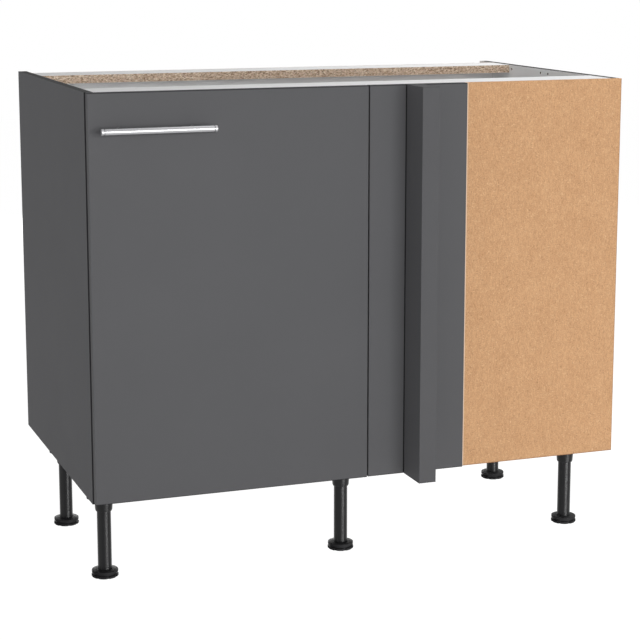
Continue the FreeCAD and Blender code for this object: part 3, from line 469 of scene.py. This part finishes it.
# Painted shade on the top, front and bottom edges of the side panels
SIDE_EDGE_PAINTED_SHADE = [(Z, 1, TOP_EDGE_PAINTED_SHADE), (Y, -1, ANTHRACITE_PAINTED_SHADE), (Z, -1, ANTHRACITE_PAINTED_SHADE)]
FRONT_EDGE = [(Y, -1, WHITE_BAND)]
post_low, post_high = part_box("corner_post")
bar_low, bar_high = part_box("handle_bar")
FINISHES = {
    "left_side_panel": board("left_side_board", "left_side_panel", X, ANTHRACITE, WHITE, SIDE_EDGE_PAINTED_SHADE),
    "right_side_panel": board("right_side_board", "right_side_panel", X, WHITE, ANTHRACITE, SIDE_EDGE_PAINTED_SHADE),
    "bottom_panel": board("bottom_board", "bottom_panel", Z, WHITE, WHITE, FRONT_EDGE),
    "front_rail": board("front_rail_board", "front_rail", Z, WHITE, WHITE, FRONT_EDGE, RAIL_BAND),
    "back_rail": board("back_rail_board", "back_rail", Z, WHITE, WHITE),
    "mid_stile": board("stile_board", "mid_stile", X, WHITE, WHITE, FRONT_EDGE),
    "shelf": board("shelf_board", "shelf", Z, WHITE, WHITE, FRONT_EDGE),
    "door_panel": matt_front("door_anthracite", "door_panel"),
    # The filler strip is painted lighter (painted light) and the corner post darker (painted shade) than the
    # door
    "filler_strip": matt_front("strip_anthracite", "filler_strip", painted_light_scale=1.03,
                               joint=(X, post_low.x - CORNER_SHADE_WIDTH, post_high.x + CORNER_SHADE_WIDTH)),
    "corner_post": matt_front("post_anthracite", "corner_post", painted_light_scale=0.95, top_shade_width=SKIN,
                              joint=(Y, post_high.y - CORNER_SHADE_WIDTH, post_high.y + CORNER_SHADE_WIDTH)),
    "blind_panel": raw_fibreboard("raw_fibreboard", "blind_panel"),
    "back_panel": lacquered_hardboard("lacquered_hardboard", "back_panel"),
    "nail_glides": moulded_black("moulded_black"),
    "handle_bar": brushed("brushed_bar", BAR_STEEL, X, (bar_low.x + GROOVE_INSET, bar_high.x - GROOVE_INSET)),
    "door_buffers": soft_buffer("milky_buffer"),
    "wood_dowels": beech_wood("beech"),
}
TUBE = drawn_black("drawn_black")
STANDOFF = brushed("brushed_standoff", STANDOFF_STEEL, Y)
NICKEL = plated("nickel_plated", NICKEL_PLATE, rough=0.2)
ZINC = plated("zinc_plated", ZINC_PLATE, rough=0.26)


def finish_of(node):
    """Material that a CAD node takes."""
    if node in FINISHES:
        return FINISHES[node]
    if node.startswith("foot_"):
        low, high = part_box(node)
        return moulded_black(node + "_black", ((low.x + high.x) / 2, (low.y + high.y) / 2, 0))
    if node.startswith(("leg_tube", "leg_socket")):
        return TUBE
    if node.startswith("handle_standoff"):
        return STANDOFF
    if node.startswith("hinge_") and not node.endswith("screws"):
        return NICKEL
    return ZINC


# Pieces with eased edges
SCREW_NODES = ("leg_screws", "hinge_plate_screws", "hinge_arm_screws", "hinge_cup_screws", "handle_screws")
FINE_EDGE = 0.0002
EDGE_WIDTHS = {
    "left_side_panel": 0.0005, "right_side_panel": 0.0005, "bottom_panel": 0.0005, "front_rail": 0.0006,
    "back_rail": 0.0003, "mid_stile": 0.0005, "shelf": 0.0006, "blind_panel": 0.0004,
    "door_panel": 0.0003, "filler_strip": 0.0003, "corner_post": 0.0003, "handle_bar": 0.00025,
    "door_buffers": 0.0004, "fixing_angles": 0.0003,
}
FRONT, REAR = 0, 1
ROUNDED = {"front_rail": (FRONT, X, 0.002), "corner_post": (REAR, Z, 0.0018)}
LONG_EDGE = 0.1
MERGE_DISTANCE = 1e-6
SAME_PLACE = 1e-5
FLAT_ANGLE = math.radians(0.4)
EDGE_ANGLE = math.radians(40)
SCREW_ANGLE = math.radians(35)


def placed(piece, node):
    """Let a piece move with a CAD node's body and stand for the node, which is hidden."""
    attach(piece, body_of[node])
    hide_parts(node)
    return piece


def plain_mesh(piece):
    """Turn a piece with modifiers into a plain mesh."""
    graph = bpy.context.evaluated_depsgraph_get()
    mesh = bpy.data.meshes.new_from_object(piece.evaluated_get(graph), depsgraph=graph)
    mesh.validate()
    piece.modifiers.clear()
    piece.data = mesh
    return mesh


def merged(node):
    """Copy of a CAD node's mesh with its loose triangles joined."""
    shape = bmesh.new()
    shape.from_mesh(cad_nodes[node].data)
    bmesh.ops.remove_doubles(shape, verts=shape.verts, dist=MERGE_DISTANCE)
    return shape


def rounded(shape, node):
    """Round the long edges of one face as ROUNDED says."""
    face, along, radius = ROUNDED[node]
    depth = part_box(node)[face].y
    chosen = []
    for edge in shape.edges:
        first, second = (vert.co for vert in edge.verts)
        on_face = abs(first.y - depth) < SAME_PLACE and abs(second.y - depth) < SAME_PLACE
        if on_face and abs(first[along] - second[along]) > LONG_EDGE:
            chosen.append(edge)
    bmesh.ops.bevel(shape, geom=chosen, offset=radius, segments=4, profile=0.5, affect="EDGES")


def eased(node, width):
    """Copy of a CAD node whose sharp edges are rounded a little, and those named in ROUNDED by more."""
    shape = merged(node)
    bmesh.ops.dissolve_limit(shape, angle_limit=FLAT_ANGLE, verts=shape.verts, edges=shape.edges)
    if node in ROUNDED:
        rounded(shape, node)
    mesh = bpy.data.meshes.new(node + "_eased")
    shape.to_mesh(mesh)
    shape.free()
    for name in ("custom_normal", "sharp_edge", "sharp_face"):
        if name in mesh.attributes:
            mesh.attributes.remove(mesh.attributes[name])
    mesh.shade_smooth()
    piece = bpy.data.objects.new(node + "_eased", mesh)
    scene.collection.objects.link(piece)
    rounding = piece.modifiers.new("rounding", "BEVEL")
    rounding.width = width
    rounding.segments = 2
    rounding.limit_method = "ANGLE"
    rounding.angle_limit = EDGE_ANGLE
    flatness = piece.modifiers.new("flatness", "WEIGHTED_NORMAL")
    flatness.weight = 100
    flatness.keep_sharp = True
    mesh = plain_mesh(piece)
    low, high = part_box(node)
    for vert in mesh.vertices:
        vert.co = Vector(map(min, map(max, vert.co, low), high))
    mesh.materials.clear()
    mesh.materials.append(finish_of(node))
    return placed(piece, node)


pieces = {}
for node in sorted(cad_nodes):
    if node not in SCREW_NODES:
        pieces[node] = eased(node, EDGE_WIDTHS.get(node, FINE_EDGE))


# Screws
SCREW_SIZES = ("Head radius", "Head height", "Shank radius", "Shank length", "Recess width", "Recess depth")
HEAD_SIDES = 40
SHANK_SIDES = 20
HEAD_TAPER = 0.78
RECESS_REACH = 1.1
WIDEST_SPIN = 1.5


def screw_tree():
    """Nodes that set a cross-headed screw on every point, each turned by chance about its own axis."""
    tree = bpy.data.node_groups.new("screw_row", "GeometryNodeTree")
    inputs = {"Geometry": "Geometry"}
    inputs.update({name: "Float" for name in SCREW_SIZES})
    inputs.update({"Lay": "Vector", "Seed": "Int", "Finish": "Material"})
    for name, kind in inputs.items():
        tree.interface.new_socket(name, in_out="INPUT", socket_type="NodeSocket" + kind)
    tree.interface.new_socket("Geometry", in_out="OUTPUT", socket_type="NodeSocketGeometry")
    nodes = Nodes(tree)

    def given(name):
        return nodes.node("NodeGroupInput", output=name)

    def lifted(mesh, height):
        offset = nodes.node("ShaderNodeCombineXYZ", {}, {"Z": height})
        return nodes.node("GeometryNodeTransform", {}, {"Geometry": mesh, "Translation": offset})

    radius = given("Head radius")
    height = given("Head height")
    length = given("Shank length")
    cone = {"Vertices": HEAD_SIDES, "Radius Bottom": radius * HEAD_TAPER, "Radius Top": radius,
            "Depth": height}
    head = nodes.node("GeometryNodeMeshCone", {}, cone)
    bars = []
    for along, across in (("X", "Y"), ("Y", "X")):
        sides = {along: radius * RECESS_REACH, across: given("Recess width"),
                 "Z": given("Recess depth") * 2.0}
        size = nodes.node("ShaderNodeCombineXYZ", {}, sides)
        bars.append(nodes.node("GeometryNodeMeshCube", {}, {"Size": size}))
    cross = nodes.node("GeometryNodeMeshBoolean", {"operation": "UNION"}, {"Mesh 2": bars})
    cut = nodes.node("GeometryNodeMeshBoolean", {"operation": "DIFFERENCE"},
                     {"Mesh 1": lifted(head, height * -1.0), "Mesh 2": lifted(cross, height * -1.0)})
    rod = {"Vertices": SHANK_SIDES, "Radius": given("Shank radius"), "Depth": length}
    shank = nodes.node("GeometryNodeMeshCylinder", {}, rod)
    screw = nodes.node("GeometryNodeJoinGeometry", {}, {0: [cut, lifted(shank, length * 0.5)]})
    range_of_spin = {"Min": 0.0, "Max": WIDEST_SPIN, "Seed": given("Seed")}
    chance = nodes.node("FunctionNodeRandomValue", {}, range_of_spin, 1)
    spin = nodes.node("ShaderNodeCombineXYZ", {}, {"Z": chance})
    seated = {"Points": given("Geometry"), "Instance": screw, "Rotation": given("Lay")}
    row = nodes.node("GeometryNodeInstanceOnPoints", {}, seated)
    turned = nodes.node("GeometryNodeRotateInstances", {}, {"Instances": row, "Rotation": spin})
    real = nodes.node("GeometryNodeRealizeInstances", {}, {"Geometry": turned})
    coated = nodes.node("GeometryNodeSetMaterial", {}, {"Geometry": real, "Material": given("Finish")})
    nodes.node("NodeGroupOutput", {}, {"Geometry": coated})
    return tree


SCREWS = screw_tree()
LAY = {"+Z": (0, 0, 0), "+X": (0, math.pi / 2, 0), "-Y": (math.pi / 2, 0, 0)}
HEAD_HEIGHT = 0.0022
HANDLE_HEAD_HEIGHT = 0.0023
SHANK_RADIUS = 0.0019


def islands(node):
    """Lowest and highest corners of each separate solid in a CAD node."""
    shape = merged(node)
    left = set(shape.verts)
    found = []
    for start in shape.verts:
        if start not in left:
            continue
        left.discard(start)
        queue = [start]
        low = start.co.copy()
        high = start.co.copy()
        while queue:
            vert = queue.pop()
            low = Vector(map(min, low, vert.co))
            high = Vector(map(max, high, vert.co))
            for edge in vert.link_edges:
                other = edge.other_vert(vert)
                if other in left:
                    left.discard(other)
                    queue.append(other)
        found.append((low, high))
    shape.free()
    return found


def screw_row(node, shank_end, seed, head_height=HEAD_HEIGHT):
    """Cross-headed screws in the places of a CAD node's screws, with their shanks to one side."""
    along = "XYZ".index(shank_end[1])
    solids = islands(node)
    seats = []
    for low, high in solids:
        seat = (low + high) / 2
        seat[along] = low[along] + head_height if shank_end[0] == "+" else high[along] - head_height
        seats.append(seat)
    low, high = solids[-1]
    head_radius = (high[along - 1] - low[along - 1]) / 2
    sizes = {"Head radius": head_radius, "Head height": head_height, "Shank radius": SHANK_RADIUS,
             "Shank length": high[along] - low[along] - head_height, "Recess width": head_radius * 0.3,
             "Recess depth": head_height * 0.7, "Lay": LAY[shank_end], "Seed": seed, "Finish": ZINC}
    mesh = bpy.data.meshes.new(node + "_row")
    mesh.from_pydata(seats, [], [])
    piece = bpy.data.objects.new(node + "_row", mesh)
    scene.collection.objects.link(piece)
    row = piece.modifiers.new("row", "NODES")
    row.node_group = SCREWS
    for entry in SCREWS.interface.items_tree:
        if entry.in_out == "INPUT" and entry.name in sizes:
            row[entry.identifier] = sizes[entry.name]
    mesh = plain_mesh(piece)
    mesh.shade_smooth()
    mesh.set_sharp_from_angle(angle=SCREW_ANGLE)
    return placed(piece, node)


screw_row("leg_screws", "+Z", 3)
screw_row("hinge_plate_screws", "+X", 5)
screw_row("hinge_arm_screws", "+X", 8)
screw_row("hinge_cup_screws", "-Y", 13)
screw_row("handle_screws", "-Y", 21, HANDLE_HEAD_HEIGHT)


# Floor, light and camera
FLOOR_LEVEL = -0.0205
FLOOR_REACH = 9
FLOOR_WHITE = paint(245, 245, 245)
FLOOR_SHADE = paint(112, 112, 112)
FLOOR_GLOW = (0.955, 0.955, 0.955, 1)
ROOM_LIGHT, ROOM_SEEN = 0.25, 1.0
CAMERA_PLACE = (-1.161864, -3.173821, 1.099224)
CAMERA_YAW, CAMERA_PITCH = 0.351029, 0.173099
CAMERA_SENSOR, CAMERA_LENS = 36, 101.630
CAMERA_SHIFT = (0.00206, -0.08255)


def studio_floor():
    """White floor: where it is seen it glows almost white by itself and still takes the shadow."""
    finish = Finish("white_floor")
    grain = finish.spread(finish.noise(3.0), 0.98, 1.0)
    plain = finish.node("ShaderNodeBsdfDiffuse", {}, {"Color": finish.shaded(FLOOR_WHITE, grain)})
    faint = finish.node("ShaderNodeBsdfDiffuse", {}, {"Color": FLOOR_SHADE})
    glow = finish.node("ShaderNodeEmission", {}, {"Color": FLOOR_GLOW, "Strength": 1.0})
    white = finish.node("ShaderNodeAddShader", {}, {0: faint, 1: glow})
    both = finish.node("ShaderNodeMixShader", {}, {0: finish.in_view(), 1: plain, 2: white})
    finish.node("ShaderNodeOutputMaterial", {}, {"Surface": both})
    mesh = bpy.data.meshes.new("floor")
    near, far = -FLOOR_REACH, FLOOR_REACH
    corners = [(x, y, FLOOR_LEVEL) for x, y in ((near, near), (far, near), (far, far), (near, far))]
    mesh.from_pydata(corners, [], [(0, 1, 2, 3)])
    mesh.materials.append(finish.material)
    floor = bpy.data.objects.new("floor", mesh)
    scene.collection.objects.link(floor)


def white_room():
    """World: an even light, and plain white where it is seen."""
    world = bpy.data.worlds.new("white_room")
    scene.world = world
    world.use_nodes = True
    nodes = Nodes(world.node_tree)
    level = nodes.ranged(nodes.in_view(), 0.0, 1.0, ROOM_LIGHT, ROOM_SEEN)
    back = nodes.node("ShaderNodeBackground", {}, {"Color": (1, 1, 1, 1), "Strength": level})
    nodes.node("ShaderNodeOutputWorld", {}, {"Surface": back})


def soft_box(name, place, aim, width, height, power):
    """Area lamp at a place, turned to its aim."""
    lamp = bpy.data.lights.new(name, "AREA")
    lamp.shape = "RECTANGLE"
    lamp.size = width
    lamp.size_y = height
    lamp.energy = power
    holder = bpy.data.objects.new(name, lamp)
    holder.location = place
    holder.rotation_euler = (Vector(aim) - Vector(place)).to_track_quat("-Z", "Y").to_euler()
    scene.collection.objects.link(holder)
    return holder


def leg_light():
    """Low lamp that lights the legs alone: on the door it would throw a hard shadow of the handle."""
    lamp = soft_box("leg_light", (1.25, -3.1, 0.07), (0.1, 0, 0.12), width=2.1, height=0.14, power=145)
    legs = bpy.data.collections.new("legs")
    for node, piece in pieces.items():
        if node.startswith(("leg_tube", "leg_socket", "foot_")):
            legs.objects.link(piece)
    lamp.light_linking.receiver_collection = legs


def photo_camera():
    """Camera that was fitted to the straight edges of the photograph."""
    level = math.cos(CAMERA_PITCH)
    ahead = Vector((math.sin(CAMERA_YAW) * level, math.cos(CAMERA_YAW) * level, -math.sin(CAMERA_PITCH)))
    right = Vector((math.cos(CAMERA_YAW), -math.sin(CAMERA_YAW), 0))
    up = right.cross(ahead)
    turn = Matrix((right, up, -ahead)).transposed()
    lens = bpy.data.cameras.new("photo_camera")
    lens.sensor_width = CAMERA_SENSOR
    lens.lens = CAMERA_LENS
    lens.shift_x, lens.shift_y = CAMERA_SHIFT
    camera = bpy.data.objects.new("photo_camera", lens)
    camera.matrix_world = Matrix.Translation(CAMERA_PLACE) @ turn.to_4x4()
    scene.collection.objects.link(camera)
    scene.camera = camera


studio_floor()
white_room()
soft_box("front_key", (0.35, -4.5, 1.05), (0, 0, 0.5), width=3.0, height=1.5, power=115)
leg_light()
soft_box("left_fill", (-3.4, -0.9, 1.4), (0, 0, 0.45), width=2.0, height=2.0, power=23)
soft_box("top_right", (1.9, 0.25, 1.7), (0.3, 0, 0.87), width=1.2, height=1.2, power=35)
soft_box("above", (0.2, 0.0, 1.6), (0.2, 0, 0.87), width=0.7, height=0.7, power=1.2)
soft_box("behind", (0.8, 4.4, 0.5), (0, 0.3, 0.45), width=2.4, height=0.8, power=60)
photo_camera()
